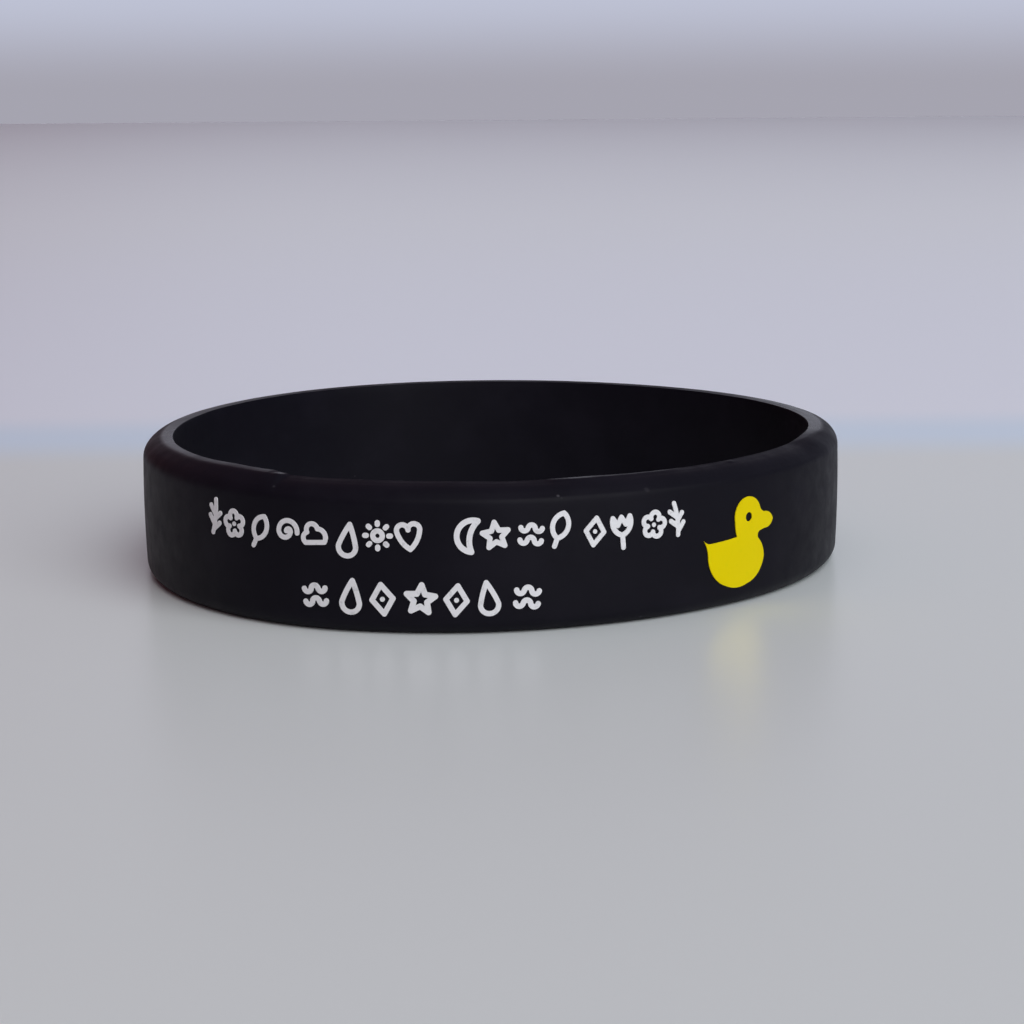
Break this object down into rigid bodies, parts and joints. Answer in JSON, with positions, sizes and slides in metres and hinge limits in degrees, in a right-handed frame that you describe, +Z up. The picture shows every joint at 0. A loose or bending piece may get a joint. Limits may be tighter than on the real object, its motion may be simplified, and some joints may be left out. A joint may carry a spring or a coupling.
{
  "type": "wristband",
  "caption": "Seamless soft rubber wristband, a closed loop open through the middle for the hand, with printed ornaments and a toy duck on its front.",
  "frame": {"origin": "middle of the band's outline, on the surface that its lower edge rests on", "axes": "+Z up through the opening for the hand, from the lower edge to the upper edge; the printed front faces -Y; +X is to the right as the print is read"},
  "size_m": [0.0672, 0.0673, 0.0127],
  "materials": {
    "silicone": "matt black moulded silicone rubber with a faint soft sheen",
    "yellow_ink": "opaque yellow printing ink with a satin surface",
    "white_ink": "opaque white printing ink with a satin surface"
  },
  "bodies": {
    "root": {"band": "silicone", "ornament_01": "white_ink", "ornament_02": "white_ink", "ornament_03": "white_ink", "ornament_04": "white_ink", "ornament_05": "white_ink", "ornament_06": "white_ink", "ornament_07": "white_ink", "ornament_08": "white_ink", "ornament_09": "white_ink", "ornament_10": "white_ink", "ornament_11": "white_ink", "ornament_12": "white_ink", "ornament_13": "white_ink", "ornament_14": "white_ink", "ornament_15": "white_ink", "ornament_16": "white_ink", "printed_duck": "yellow_ink", "small_mark_01": "white_ink", "small_mark_02": "white_ink", "small_mark_03": "white_ink", "small_mark_04": "white_ink", "small_mark_05": "white_ink", "small_mark_06": "white_ink", "small_mark_07": "white_ink"}
  },
  "joints": []
}
